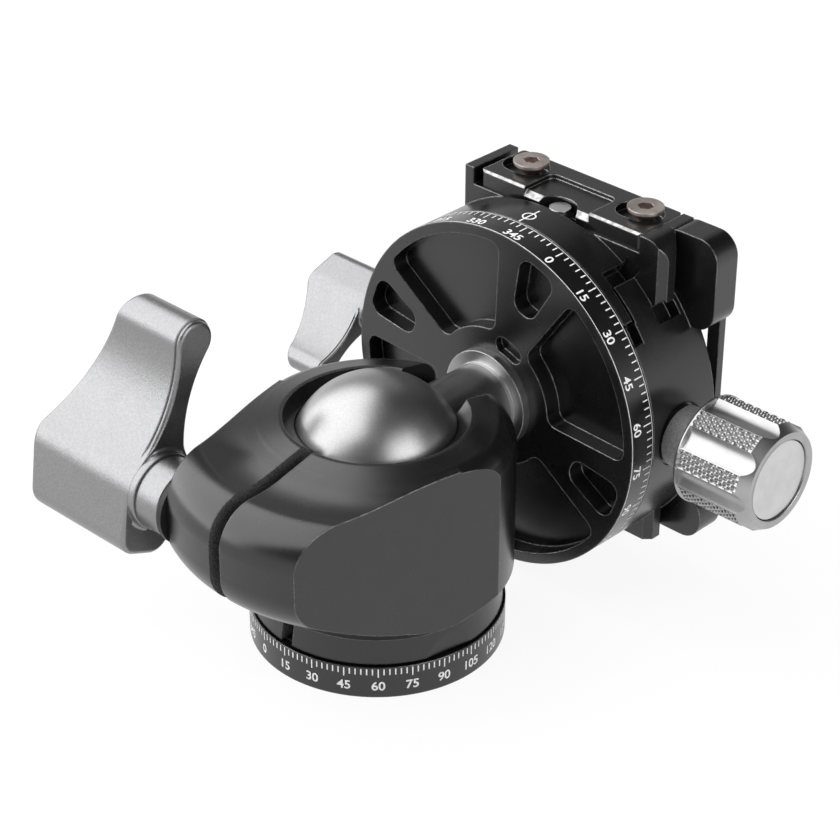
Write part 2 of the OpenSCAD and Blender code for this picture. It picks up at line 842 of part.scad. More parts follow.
module pan_retainer_screws() {
    color("#6f6a66") at_ball() pan_retainer_screw_places() {
        rod_x(pan_retainer_screw_r, 0, pan_retainer_screw_len);
        rod_x(pan_retainer_head_r, 0, pan_retainer_t / 2);
    }
}

module pan_shoe() {
    color("#b08d4a") at_axis(pan_axis_x) rod_y(pan_screw_r, hub_r + slip_gap, hub_r + pan_shoe_len);
}

// Washer with one flat side, which keeps it clear of the disc's rim
module pan_lock_washer() {
    color("#e6e4dc") difference() {
        at_axis(pan_axis_x) tube_y(pan_washer_r, pan_screw_r + slip_gap, pan_spot, pan_spot + pan_washer_t);
        block([-far, -far, -far], [body_face + slip_gap, far, far]);
    }
}

small_wing_y = disc_r + 5;
small_wing_len = wing_base_len * small_wing_ratio;
small_collar = pan_spot + pan_washer_t + 2 * run_gap;

module pan_lock_lever() {
    color("#9b9ca0") at_axis(pan_axis_x) rotate([0, small_wing_lean, 0])
        wing_lever(small_collar, small_wing_y, small_wing_ratio, pan_screw_r + fit_gap);
}

module pan_lock_screw() {
    color("#7d7f82") at_axis(pan_axis_x)
        rod_y(pan_screw_r, hub_r + pan_shoe_len + slip_gap, small_wing_y + small_wing_len / 2 - run_gap);
}

// End plate across the closed end

module end_plate_outline() {
    difference() {
        rounded_box([plate_x + 0.4, end_plate_y[0]], [clamp_x, end_plate_y[1]], 0.8);
        translate([plate_x - 1, stop_pin_y]) circle(pin_notch_r);
    }
}

// Bevel along Y on a front edge, whose corner is at x and z
module front_bevel(x, z, c, y0, y1) {
    plate_y_xz(y0, y1) polygon([[x - cut, z - c - cut], [x + c + cut, z + cut], [x - cut, z + cut]]);
}

module end_plate() {
    front = plate_x + 0.4;
    panel_z = clamp_top - panel_depth;
    color("#161617") at_ball() difference() {
        translate([0, 0, plate_seat_z]) linear_extrude(end_plate_t) end_plate_outline();
        end_screw_places(plate_seat_z - cut) cylinder(h = far, r = end_screw_r + fit_gap);
        end_screw_places(clamp_top - 1.4) linear_extrude(far)
            rounded_outline([[0, 0], [0.01, 0], [0.01, 2.3], [0, 2.3]], end_screw_head_r + slip_gap);
        // Shallow panel between the screws, open to the front
        translate([0, 0, panel_z]) linear_extrude(far)
            rounded_box([plate_x - 2, panel_y[0]], [clamp_x - 3.6, panel_y[1]], 1.4);
        front_bevel(front, clamp_top, plate_bevel, -far, far);
        front_bevel(front, panel_z, panel_bevel, panel_y[0], panel_y[1]);
    }
}

module end_plate_screws() {
    color("#8b7f78") at_ball() end_screw_places(0) difference() {
        union() {
            rod_z(end_screw_r, end_wall_z + 1.2, end_head_z + cut);
            translate([0, 0, end_head_z])
                cylinder(h = end_screw_head_r - end_screw_r, r1 = end_screw_r, r2 = end_screw_head_r);
            rod_z(end_screw_head_r, end_head_top - end_head_rim, end_head_top);
        }
        translate([0, 0, end_head_top - 1.3]) cylinder(h = far, r = 1.45, $fn = 6);
    }
}

module stop_pin() {
    color("#c6c7c9") at_axis(stop_pin_x, stop_pin_y)
        rod_z(stop_pin_r, end_wall_z - 5, stop_pin_top);
}

// Movable jaw

module jaw_outline_xy() {
    inner = plate_side + run_gap;
    polygon([
        [plate_x + run_gap, inner], [plate_x + run_gap, inner + jaw_depth], [clamp_x, inner + jaw_depth],
        [clamp_x, groove_half - dovetail], [clamp_x - dovetail, groove_half],
        [floor_x + run_gap, groove_half], [floor_x + run_gap, inner]
    ]);
}

module movable_jaw() {
    inner = plate_side + run_gap;
    color("#161617") at_ball() difference() {
        union() {
            translate([0, 0, jaw_low]) linear_extrude(jaw_high - jaw_low) jaw_outline_xy();
            block([channel_x + run_gap, nut_y - cut, -tongue_half],
                [floor_x - run_gap, inner + 1, tongue_half]);
        }
        nut_screw_places() countersink(nut_screw_r + fit_gap, nut_screw_head_r + fit_gap, far);
        for (z = guide_pin_z)
            translate([guide_pin_x, 0, z]) rod_y(guide_pin_r + fit_gap, inner - cut, inner + jaw_depth - 1);
    }
}

module nut_screw_places() {
    for (side = [-1, 1])
        translate([floor_x - run_gap, nut_y + nut_len / 2, side * nut_screw_z])
            rotate([0, -90, 0]) children();
}

module jaw_nut() {
    color("#b08d4a") at_ball() difference() {
        block([hub_end + 0.7, nut_y, -nut_half], [channel_x + run_gap, nut_y + nut_len, nut_half]);
        translate([jaw_axis_x, 0, 0]) rod_y(jaw_screw_r + fit_gap, -far, far);
        nut_screw_places() rod_z(nut_screw_r + fit_gap, 0, nut_screw_len + 2 * run_gap);
    }
}

module jaw_nut_screws() {
    color("#6f6a66") at_ball() nut_screw_places()
        countersunk_screw(nut_screw_r, nut_screw_head_r, nut_screw_len, 0.8);
}

module jaw_guide_pins() {
    end = plate_side + run_gap + jaw_depth - 1.3;
    color("#b4b5b7") at_ball() for (z = guide_pin_z)
        translate([guide_pin_x, 0, z]) rod_y(guide_pin_r, guide_pin_y, end);
}

// Knurled knob and its screw

module jaw_washer() {
    color("#e6e4dc") at_axis(jaw_axis_x)
        tube_y(knob_collar_r - 0.4, jaw_screw_r + slip_gap, -knob_spot - jaw_washer_t, -knob_spot);
}

module knob_blank() {
    end = knob_y + knob_len;
    rotate([90, 0, 0]) rotate_extrude() polygon([
        [0, knob_y], [knob_r - 0.25, knob_y], [knob_r, knob_y + 0.25], [knob_r, end - knob_nose_len],
        [knob_r - knob_nose_drop, end], [0, end]
    ]);
}

module jaw_knob() {
    color("#b9babb") at_axis(jaw_axis_x) difference() {
        union() {
            knob_blank();
            rod_y(knob_collar_r, -knob_y - 1, -knob_spot - jaw_washer_t - run_gap);
        }
        for (i = [0 : knob_flutes - 1]) rotate([0, i * 360 / knob_flutes, 0])
            translate([knob_r + flute_r - flute_depth, 0, 0]) rod_y(flute_r, -far, -knob_y - knob_rim);
        rod_y(cap_r + fit_gap, -far, -knob_y - knob_len + cap_t + cap_inset);
        rod_y(jaw_screw_r + fit_gap, -knob_y - 10, far);
    }
}

module knob_cap() {
    end = -knob_y - knob_len + cap_inset;
    color("#c9cacb") at_axis(jaw_axis_x) rod_y(cap_r, end, end + cap_t);
}

module jaw_screw() {
    color("#7d7f82") at_axis(jaw_axis_x) difference() {
        rod_y(jaw_screw_r, -knob_y - 9.7, nut_y + nut_len + 3);
        difference() {
            rod_y(2 * jaw_screw_r, nut_room_y + slip_gap, nut_room_y + 0.9);
            rod_y(jaw_screw_r - 0.5, -far, far);
        }
    }
}

module jaw_clip() {
    color("#6f6a66") at_axis(jaw_axis_x)
        tube_y(jaw_screw_r + 1.1, jaw_screw_r - 0.45, nut_room_y + slip_gap, nut_room_y + 0.9);
}

base_ring();
pan_post();
base_screws();
base_glide_washer();
housing();
retaining_ring();
ball_cup();
cup_spring();
lug_insert();
ball_lock_washer();
ball_lock_lever();
ball_lock_stud();
ball();
stem();
graduated_disc();
pan_hub();
hub_bolt();
clamp_body();
pan_retainer();
pan_retainer_screws();
end_plate();
end_plate_screws();
stop_pin();
pan_shoe();
pan_lock_washer();
jaw_washer();
pan_lock_lever();
pan_lock_screw();
movable_jaw();
jaw_nut();
jaw_nut_screws();
jaw_guide_pins();
jaw_knob();
knob_cap();
jaw_screw();
jaw_clip();
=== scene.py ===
"""Looks of the ball head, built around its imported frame. Lengths are metres."""

import json
import math

import bmesh
import bpy
from mathutils import Matrix, Vector


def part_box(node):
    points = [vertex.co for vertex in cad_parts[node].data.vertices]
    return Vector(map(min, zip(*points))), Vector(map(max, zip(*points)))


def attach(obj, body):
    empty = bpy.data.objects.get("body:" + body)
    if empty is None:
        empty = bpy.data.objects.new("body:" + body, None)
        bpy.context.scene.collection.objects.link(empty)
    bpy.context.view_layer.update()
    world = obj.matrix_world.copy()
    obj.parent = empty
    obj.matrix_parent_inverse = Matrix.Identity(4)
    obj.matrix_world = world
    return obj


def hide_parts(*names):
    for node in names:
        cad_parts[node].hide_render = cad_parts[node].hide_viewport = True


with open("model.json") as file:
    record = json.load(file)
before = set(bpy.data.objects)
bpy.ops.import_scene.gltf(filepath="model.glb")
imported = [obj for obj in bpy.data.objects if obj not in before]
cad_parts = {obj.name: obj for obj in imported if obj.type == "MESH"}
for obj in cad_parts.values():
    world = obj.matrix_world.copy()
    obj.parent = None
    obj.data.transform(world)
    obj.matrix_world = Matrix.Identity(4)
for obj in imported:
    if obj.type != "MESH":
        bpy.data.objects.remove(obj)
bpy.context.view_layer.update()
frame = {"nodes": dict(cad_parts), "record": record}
MM = 0.001
NODES = frame["nodes"]
RECORD = frame["record"]
BODY_OF = {node: body for body, members in RECORD["behaviour"]["bodies"].items() for node in members}
SLOT_OF = {row["node"]: row["material_slot"] for row in RECORD["subparts"]}

# Sizes that the frame gives
BALL_LOW, BALL_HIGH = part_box("ball")
CENTRE = Vector((0, 0, (BALL_LOW.z + BALL_HIGH.z) / 2))
BASE_LOW, BASE_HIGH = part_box("base_ring")
BASE_R = BASE_HIGH.x
DISC_LOW, DISC_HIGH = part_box("graduated_disc")
DISC_R = (DISC_HIGH.z - DISC_LOW.z) / 2
KNOB_LOW, KNOB_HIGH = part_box("jaw_knob")
CAP_LOW, CAP_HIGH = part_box("knob_cap")
BODY_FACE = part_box("clamp_body")[0].x

# Knob's length without its neck
KNOB_LEN = 15.2 * MM

# Places where a piece's finish changes: the knob's neck, the stem's flange, and the slit up to the ball
NECK_Y = KNOB_LOW.y + KNOB_LEN + 0.05 * MM
FLANGE_X = DISC_LOW.x - 2.6 * MM
SLIT_HALF = 1.29 * MM
SLIT_END_X = -13 * MM

# Camera that sees the object as the photograph does
CAMERA_TARGET = Vector((9.21, -1.19, 37.28)) * MM
CAMERA_DISTANCE = 444.9 * MM
CAMERA_AZIMUTH = math.radians(-46.31)
CAMERA_ELEVATION = math.radians(30.94)
CAMERA_ROLL = math.radians(0.3)
CAMERA_LENS = 112.83
CAMERA_SENSOR = 36
CAMERA_CLIP = 10 * MM


# Shader nodes

# Cosines between eased and own normal at which the painted edge highlight begins, and is full
EDGE_HIGHLIGHT_COSINES = (0.985, 0.85)
# Cosine from which a face counts as looking a way
FACING = 0.98
# Range of noise that a number's change and a colour's change take up
NUMBER_NOISE = (0.3, 0.7)
COLOUR_NOISE = (0.35, 0.65)
BEVEL_SAMPLES = 4


def grey(value):
    return (value, value, value)


def new_material(name, **values):
    """A Principled material with constants on its own sockets."""
    material = bpy.data.materials.new(name)
    material.use_nodes = True
    shader = material.node_tree.nodes["Principled BSDF"]
    for socket, value in values.items():
        shader.inputs[socket.replace("_", " ")].default_value = value
    return material, material.node_tree, shader


def feed(tree, shader, **values):
    """Other nodes' outputs for the shader's sockets."""
    for socket, value in values.items():
        tree.links.new(value, shader.inputs[socket.replace("_", " ")])


def add(tree, kind, **values):
    """A shader node with its settings and input values."""
    node = tree.nodes.new("ShaderNode" + kind)
    for key, value in values.items():
        if key in node.inputs:
            node.inputs[key].default_value = value
        else:
            setattr(node, key, value)
    return node


def maths(tree, operation, *values):
    """A Math node; each value is a number or another node's output."""
    node = add(tree, "Math", operation=operation)
    for socket, value in zip(node.inputs, values):
        if isinstance(value, bpy.types.NodeSocket):
            tree.links.new(value, socket)
        else:
            socket.default_value = value
    return node.outputs[0]


def ranged(tree, value, source, target=(0, 1)):
    """A number carried from one range to another."""
    node = add(tree, "MapRange")
    for key, limit in zip(("From Min", "From Max", "To Min", "To Max"), (*source, *target)):
        node.inputs[key].default_value = limit
    tree.links.new(value, node.inputs["Value"])
    return node.outputs["Result"]


def colour_ramp(tree, value, stops):
    """Colours at rising places along a number, and even change between them."""
    node = add(tree, "ValToRGB")
    elements = node.color_ramp.elements
    elements.remove(elements[1])
    for i, (position, colour) in enumerate(stops):
        element = elements.new(position) if i else elements[0]
        element.position = position
        element.color = (*colour, 1)
    tree.links.new(value, node.inputs["Fac"])
    return node.outputs["Color"]


def coordinate(tree, axis, kind="Object"):
    """One coordinate of a place on the piece, or of a direction in the world."""
    place = add(tree, "TexCoord")
    split = add(tree, "SeparateXYZ")
    tree.links.new(place.outputs[kind], split.inputs[0])
    return split.outputs[axis]


def noise(tree, size, detail, roughness):
    """Noise over the piece, with spots of about the given size."""
    place = add(tree, "TexCoord")
    texture = add(tree, "TexNoise", Scale=1 / size, Detail=detail, Roughness=roughness)
    tree.links.new(place.outputs["Object"], texture.inputs["Vector"])
    return texture.outputs["Fac"]


def varied(tree, size, low, high):
    """A number that changes slowly over the surface."""
    return ranged(tree, noise(tree, size, detail=4.0, roughness=0.55), NUMBER_NOISE, (low, high))


def mottle(tree, size, dark, light):
    """Slow change between two colours."""
    spots = noise(tree, size, detail=5.0, roughness=0.6)
    return colour_ramp(tree, spots, zip(COLOUR_NOISE, (dark, light)))


def blend_colours(tree, mask, first, second):
    """First colour where the mask is 0, second where it is 1."""
    blend = add(tree, "Mix", data_type="RGBA")
    tree.links.new(mask, blend.inputs["Factor"])
    tree.links.new(first, blend.inputs["A"])
    tree.links.new(second, blend.inputs["B"])
    return blend.outputs["Result"]


def rounded(tree, radius):
    """Normal that runs round sharp edges as a small radius would."""
    return add(tree, "Bevel", samples=BEVEL_SAMPLES, Radius=radius).outputs["Normal"]


def relief(tree, shader, height, depth, strength, edge):
    """Bump over edges eased to a small radius."""
    bump = add(tree, "Bump", Strength=strength, Distance=depth)
    tree.links.new(height, bump.inputs["Height"])
    tree.links.new(rounded(tree, edge), bump.inputs["Normal"])
    feed(tree, shader, Normal=bump.outputs["Normal"])


def grain(tree, shader, size, depth, strength, edge):
    """Fine blasted grain as bump."""
    relief(tree, shader, noise(tree, size, detail=3.0, roughness=0.6), depth, strength, edge)


def edge_mask(tree, radius):
    """1 where the eased normal leaves the face's own, which is along edges: the place of the painted edge
    highlight.
    """
    shape = add(tree, "NewGeometry")
    dot = add(tree, "VectorMath", operation="DOT_PRODUCT")
    tree.links.new(rounded(tree, radius), dot.inputs[0])
    tree.links.new(shape.outputs["Normal"], dot.inputs[1])
    return ranged(tree, dot.outputs["Value"], EDGE_HIGHLIGHT_COSINES)


def facing_mask(tree, way):
    """1 on faces that look a given way on their own piece."""
    place = add(tree, "TexCoord")
    dot = add(tree, "VectorMath", operation="DOT_PRODUCT")
    dot.inputs[1].default_value = way
    tree.links.new(place.outputs["Normal"], dot.inputs[0])
    return maths(tree, "GREATER_THAN", dot.outputs["Value"], FACING)


def slit_mask(tree):
    """1 on the housing's slit walls, which are near the middle plane and on the lug's side."""
    near = maths(tree, "LESS_THAN", maths(tree, "ABSOLUTE", coordinate(tree, "Y")), SLIT_HALF)
    lug = maths(tree, "LESS_THAN", coordinate(tree, "X"), SLIT_END_X)
    return maths(tree, "MULTIPLY", near, lug)


# Materials

BLACK = ((0.0035, 0.0035, 0.004), (0.006, 0.006, 0.0066))
# Colours and metallic of the painted highlights: along edges, and on bevels that face the key light
EDGE_HIGHLIGHT_COLOURS = (grey(0.10), grey(0.32))
BEVEL_HIGHLIGHT_COLOURS = (grey(0.20), grey(0.46))
HIGHLIGHT_METALLIC = 0.8
# Way that bevels face where they mirror the key light; there they get a painted highlight
KEY_LIT_BEVEL_WAY = (-0.707, 0, 0.707)
SAWN = (grey(0.004), grey(0.11))
SAWN_ROUGHNESS = 0.8
KNOB_ROUGHNESS, NECK_ROUGHNESS = 0.33, 0.68
CAP_RINGS = 1.6 / MM


def black_anodised(name="black_anodised", slit=False, lit_bevels=False):
    """Satin black with painted highlights: lighter metal along every edge, and bright bare metal on bevels
    that face the key light; the slit's sawn walls are rough and grey.
    """
    material, tree, shader = new_material(name, IOR=1.6)
    # Painted edge highlight: lighter bare metal along every edge
    highlight_mask = edge_mask(tree, 0.28 * MM)
    if lit_bevels:
        # Painted highlight: bevels that face the key light get bright bare metal too
        highlight_mask = maths(tree, "MAXIMUM", highlight_mask, facing_mask(tree, KEY_LIT_BEVEL_WAY))
    highlight_colour = mottle(tree, 1.5 * MM, *(BEVEL_HIGHLIGHT_COLOURS if lit_bevels else EDGE_HIGHLIGHT_COLOURS))
    colour = blend_colours(tree, highlight_mask, mottle(tree, 4 * MM, *BLACK), highlight_colour)
    roughness = varied(tree, 6 * MM, 0.25, 0.28)
    if slit:
        inside = slit_mask(tree)
        colour = blend_colours(tree, inside, colour, mottle(tree, 0.3 * MM, *SAWN))
        sawn = maths(tree, "MULTIPLY", inside, SAWN_ROUGHNESS)
        roughness = maths(tree, "MAXIMUM", roughness, sawn)
    metallic = maths(tree, "MULTIPLY", highlight_mask, HIGHLIGHT_METALLIC)
    feed(tree, shader, Base_Color=colour, Metallic=metallic, Roughness=roughness)
    grain(tree, shader, size=0.11 * MM, depth=0.004 * MM, strength=0.35, edge=0.4 * MM)
    return material


def metal(name, dark, light, roughness, grains, edge=0.2 * MM, fleck=5 * MM):
    """Blasted or machined metal with flecks of two colours."""
    material, tree, shader = new_material(name, Metallic=1.0)
    colour = mottle(tree, fleck, dark, light)
    feed(tree, shader, Base_Color=colour, Roughness=varied(tree, 4 * MM, *roughness))
    grain(tree, shader, *grains, edge)
    return material


def brushed_cap():
    """Turned end face: fine rings about the knob's axis."""
    material, tree, shader = new_material("brushed_cap", Metallic=1.0)
    colour = mottle(tree, 3 * MM, grey(0.56), grey(0.62))
    feed(tree, shader, Base_Color=colour, Roughness=varied(tree, 2 * MM, 0.28, 0.36))
    place = add(tree, "TexCoord")
    shift = add(tree, "Mapping", Location=(-(CAP_LOW.x + CAP_HIGH.x) / 2, 0, -CENTRE.z))
    rings = add(tree, "TexWave", wave_type="RINGS", rings_direction="Y", Scale=CAP_RINGS, Distortion=2.0)
    tree.links.new(place.outputs["Object"], shift.inputs["Vector"])
    tree.links.new(shift.outputs["Vector"], rings.inputs["Vector"])
    relief(tree, shader, rings.outputs["Fac"], depth=0.004 * MM, strength=0.12, edge=0.2 * MM)
    return material


def knob_steel():
    """Bright knurled steel, with a rougher turned neck between the knob and the clamp."""
    material, tree, shader = new_material("knurled_steel_knob", Metallic=1.0)
    bright = mottle(tree, 5 * MM, grey(0.36), grey(0.42))
    rough = mottle(tree, 0.4 * MM, grey(0.40), grey(0.60))
    neck = maths(tree, "GREATER_THAN", coordinate(tree, "Y"), NECK_Y)
    roughness = ranged(tree, neck, (0, 1), (KNOB_ROUGHNESS, NECK_ROUGHNESS))
    feed(tree, shader, Base_Color=blend_colours(tree, neck, bright, rough), Roughness=roughness)
    grain(tree, shader, size=0.12 * MM, depth=0.002 * MM, strength=0.3, edge=0.05 * MM)
    return material


def two_part_stem():
    """Dark satin rod whose flange at the disc is turned bright."""
    material, tree, shader = new_material("stem_steel", Metallic=1.0)
    satin = mottle(tree, 5 * MM, grey(0.25), grey(0.29))
    bright = mottle(tree, 3 * MM, grey(0.46), grey(0.54))
    flange = maths(tree, "GREATER_THAN", coordinate(tree, "X"), FLANGE_X)
    colour = blend_colours(tree, flange, satin, bright)
    feed(tree, shader, Base_Color=colour, Roughness=varied(tree, 3 * MM, 0.30, 0.36))
    grain(tree, shader, size=0.12 * MM, depth=0.003 * MM, strength=0.3, edge=0.25 * MM)
    return material


def polymer(name, dark, light):
    """Plastic of slip washers and seats."""
    material, tree, shader = new_material(name, Metallic=0.0, IOR=1.45)
    colour = mottle(tree, 3 * MM, dark, light)
    feed(tree, shader, Base_Color=colour, Roughness=varied(tree, 3 * MM, 0.45, 0.6))
    grain(tree, shader, size=0.2 * MM, depth=0.004 * MM, strength=0.3, edge=0.1 * MM)
    return material


def scale_white():
    """Paint of the engraved scales."""
    material, tree, shader = new_material("scale_white", Metallic=0.0, IOR=1.45)
    colour = mottle(tree, 0.8 * MM, grey(0.78), grey(0.90))
    feed(tree, shader, Base_Color=colour, Roughness=varied(tree, 0.5 * MM, 0.5, 0.7))
    return material


# Grains are a size, a depth and a strength
METALS = {
    "blasted_aluminium": dict(
        dark=(0.234, 0.234, 0.238), light=(0.278, 0.278, 0.282), roughness=(0.32, 0.37),
        grains=(0.28 * MM, 0.04 * MM, 0.9), edge=0.15 * MM, fleck=0.38 * MM),
    "satin_ball": dict(
        dark=grey(0.325), light=grey(0.38), roughness=(0.34, 0.38),
        grains=(0.10 * MM, 0.009 * MM, 0.5), fleck=0.28 * MM),
    "bright_steel": dict(
        dark=grey(0.64), light=grey(0.72), roughness=(0.24, 0.32), grains=(0.12 * MM, 0.002 * MM, 0.3)),
    "screw_steel": dict(
        dark=(0.38, 0.32, 0.29), light=(0.62, 0.54, 0.50), roughness=(0.26, 0.42),
        grains=(0.2 * MM, 0.006 * MM, 0.4)),
    "plain_steel": dict(
        dark=(0.40, 0.40, 0.41), light=(0.48, 0.48, 0.49), roughness=(0.28, 0.38),
        grains=(0.15 * MM, 0.003 * MM, 0.3)),
    "brass": dict(
        dark=(0.58, 0.42, 0.17), light=(0.66, 0.49, 0.21), roughness=(0.26, 0.36),
        grains=(0.15 * MM, 0.003 * MM, 0.3)),
}
MATERIALS = {
    "black_anodised": black_anodised(),
    "black_polymer": polymer("black_polymer", grey(0.008), grey(0.012)),
    "white_polymer": polymer("white_polymer", (0.70, 0.69, 0.65), (0.78, 0.77, 0.73)),
    **{name: metal(name, **values) for name, values in METALS.items()},
}
# Nodes whose finish differs from the rest of their slot
OWN_MATERIALS = {
    "knob_cap": brushed_cap(),
    "stem": two_part_stem(),
    "housing": black_anodised("slit_black", slit=True),
    # End plate with a painted highlight on the bevels that face the key light
    "end_plate": black_anodised("black_lit_bevels", lit_bevels=True),
}
SCALE_WHITE = scale_white()


# Making pieces

FLAT_WEIGHT = 80


def add_piece(name, mesh, material, body, node=None):
    """A new object that rides on a body, and stands for a node where one is named."""
    mesh.materials.clear()
    mesh.materials.append(material)
    piece = bpy.data.objects.new(name, mesh)
    bpy.context.scene.collection.objects.link(piece)
    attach(piece, body)
    if node:
        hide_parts(node)
    return piece


def finish_normals(piece, sharp):
    """Smooth shading that keeps flat faces flat, and edges sharp from an angle on."""
    mesh = piece.data
    mesh.shade_smooth()
    mesh.set_sharp_from_angle(angle=sharp)
    weigh = piece.modifiers.new("flat_faces", "WEIGHTED_NORMAL")
    weigh.keep_sharp = True
    weigh.weight = FLAT_WEIGHT


def to_mesh(name, bm):
    bmesh.ops.recalc_face_normals(bm, faces=bm.faces)
    mesh = bpy.data.meshes.new(name)
    bm.to_mesh(mesh)
    bm.free()
    return mesh


def join_rings(bm, rings):
    """Faces between closed rings of equal count."""
    count = len(rings[0])
    for low, high in zip(rings, rings[1:]):
        for i in range(count):
            k = (i + 1) % count
            bm.faces.new((low[i], low[k], high[k], high[i]))


def joined(first, *others):
    """Boolean of closed meshes, each other one with its operation."""
    holders = [bpy.data.objects.new("holder", mesh) for mesh in (first, *(mesh for mesh, kind in others))]
    for holder in holders:
        bpy.context.scene.collection.objects.link(holder)
    for holder, (mesh, kind) in zip(holders[1:], others):
        step = holders[0].modifiers.new(kind, "BOOLEAN")
        step.operation = kind
        step.object = holder
        step.solver = "EXACT"
    graph = bpy.context.evaluated_depsgraph_get()
    mesh = bpy.data.meshes.new_from_object(holders[0].evaluated_get(graph))
    for holder in holders:
        shape = holder.data
        bpy.data.objects.remove(holder)
        bpy.data.meshes.remove(shape)
    return mesh


def smooth(t):
    """Eased step from 0 to 1."""
    t = min(1.0, max(0.0, t))
    return t * t * (3 - 2 * t)


def circle(count):
    """Cosine and sine of even steps round a circle."""
    angles = [2 * math.pi * i / count for i in range(count)]
    return [(math.cos(a), math.sin(a)) for a in angles]


# Wing levers: one section swept outward from a stepped lip. Lengths are millimetres of the large lever.

WING_HUB_R = 6.9
WING_TIP_R, WING_TIP_UP = 3.955, 25.85
WING_TOE_R, WING_TOE_SIDE, WING_TOE_DOWN = 3.6, 1.8, 8.4
WING_HOLLOW_R, WING_HOLLOW_X, WING_HOLLOW_Z = 25.945, 28.4, 16.5
WING_LEN = 25.0
WING_LIP_INSET, WING_LIP_ROUND = 0.3, 0.7
WING_END_ROUND = 1.0
# Groove behind the lip: how many lip insets deep, and how far along
WING_GROOVE = ((1.0, 0.84), (1.5, 0.98), (0.5, 1.02), (0.13, 1.08), (0.0, 1.2))
# Distance from the hub at which the lip begins, and over which it grows to its full size
WING_LIP_START, WING_LIP_GROWTH = 0.05, 1.8
# Outer end in side view: flat beside the axis, then straight slants from these (height, distance, slope)
WING_FLAT = 2.0
WING_UPPER = (3.106, 24.789, -0.3965)
WING_LOWER = (-2.8, 24.96, 0.1)
# Step between points of an arc, made finer on arcs of more than a given radius
WING_STEP, WING_STEP_R = math.radians(5), 8
WING_WELD = 1e-4
WING_SHARP = math.radians(40)
ROUND_STEPS = 5

# Collar and boss behind the wing: radius added, and distance along, at the rings of each edge
COLLAR_R = 6.5
COLLAR_AROUND = 96
COLLAR_FOOT = ((-0.25, 0), (0, 0.25))
COLLAR_GROOVE = ((0, -0.3), (-0.15, -0.22), (-0.15, -0.02))
BOSS_R, BOSS_LEN = 6.88, 1.4
BOSS_EDGE = ((-0.25, 0), (-0.08, 0.05), (0, 0.25))
BOSS_FILLET = 0.9
# How far the fillet reaches into the wing, then the collar's closed end there: radius, distance along, and
# share of the fillet's room
FILLET_SINK = 0.02
COLLAR_SINK = ((BOSS_R, 0.2, 1.0), (BOSS_R - 0.2, 1.2, 0.0), (COLLAR_R - 1, 4, 0.0))
# Cosine from which a point of the wing's edge counts as lying in a direction
SAME_WAY = 0.99

# Cutter's overlap past the collar's end
BORE_PAST = 1
# Room round the stud and past its end, in metres
BORE_GAP = 0.05 * MM
BORE_END = 0.3 * MM


def arc(x, z, radius, start, stop):
    """Points of an arc with their outward normals; a radius below 0 makes a hollow."""
    count = max(2, math.ceil(abs(stop - start) / WING_STEP * max(1.0, abs(radius) / WING_STEP_R)))
    angles = [start + (stop - start) * i / count for i in range(count + 1)]
    normals = [Vector((math.cos(a), math.sin(a))) for a in angles]
    return [(Vector((x, z)) + n * radius, n) for n in normals]


def wing_half():
    """Right half of the wing's section, from the toe to the tip."""
    reach = math.hypot(WING_TOE_SIDE, WING_TOE_DOWN)
    flank = math.atan2(WING_TOE_SIDE, WING_TOE_DOWN) - math.asin((WING_HUB_R - WING_TOE_R) / reach)
    rise = math.atan2(WING_HOLLOW_Z, WING_HOLLOW_X)
    fall = math.atan2(WING_HOLLOW_Z - WING_TIP_UP, WING_HOLLOW_X)
    points = arc(WING_TOE_SIDE, -WING_TOE_DOWN, WING_TOE_R, -math.pi / 2, flank)
    points += arc(0, 0, WING_HUB_R, flank, rise)
    points += arc(WING_HOLLOW_X, WING_HOLLOW_Z, -WING_HOLLOW_R, rise, fall)[1:-1]
    points += arc(0, WING_TIP_UP, WING_TIP_R, fall, math.pi / 2)
    return points


def wing_end(z):
    """How far the wing runs outward at a height."""
    if z > WING_FLAT:
        height, distance, slope = WING_UPPER
    elif z < -WING_FLAT:
        height, distance, slope = WING_LOWER
    else:
        return WING_LEN
    if abs(z) >= abs(height):
        return distance + slope * (z - height)
    share = (abs(z) - WING_FLAT) / (abs(height) - WING_FLAT)
    return WING_LEN + (distance - WING_LEN) * share ** 2


def quarter():
    """Sine and cosine of even steps from 0 to 90 degrees."""
    angles = [math.pi / 2 * i / ROUND_STEPS for i in range(ROUND_STEPS + 1)]
    return [(math.sin(a), math.cos(a)) for a in angles]


def edge_share(p):
    """0 beside the boss, where the wing's side runs on into it, rising to 1 at the free edges."""
    return smooth((p.length - WING_HUB_R - WING_LIP_START) / WING_LIP_GROWTH)


def lip_inset(share, z):
    """How far the lip's side is set in; only the upper arm has a step."""
    return share * WING_LIP_INSET if z > 0 else 0.0


def wing_mesh():
    """The wing, from its lip at 0 outward along Y."""
    half = wing_half()
    shares = [edge_share(p) for p, n in half]
    bm = bmesh.new()

    def ring(inset_at, y_at):
        points = []
        for (p, n), share in zip(half, shares):
            inner = p - inset_at(share, p.y) * n
            points.append((inner.x, y_at(share, inner.y), inner.y))
        points += [(-x, y, z) for x, y, z in reversed(points[:-1])]
        return [bm.verts.new(p) for p in points]

    rings = []
    for s, c in quarter():
        rings.append(ring(
            lambda share, z: lip_inset(share, z) + share * WING_LIP_ROUND * (1 - s),
            lambda share, z: share * WING_LIP_ROUND * (1 - c)))
    for depth, y in WING_GROOVE:
        rings.append(ring(lambda share, z: depth * lip_inset(share, z), lambda share, z: y))
    for s, c in quarter():
        rings.append(ring(
            lambda share, z: WING_END_ROUND * (1 - c),
            lambda share, z: wing_end(z) - WING_END_ROUND * (1 - s)))
    join_rings(bm, rings)
    top = len(half) - 1
    for verts in (rings[0], rings[-1]):
        for i in range(top - 1):
            bm.faces.new((verts[i], verts[i + 1], verts[-2 - i], verts[-1 - i]))
        bm.faces.new((verts[top - 1], verts[top], verts[top + 1]))
    bmesh.ops.remove_doubles(bm, verts=bm.verts, dist=WING_WELD)
    return to_mesh("wing", bm)


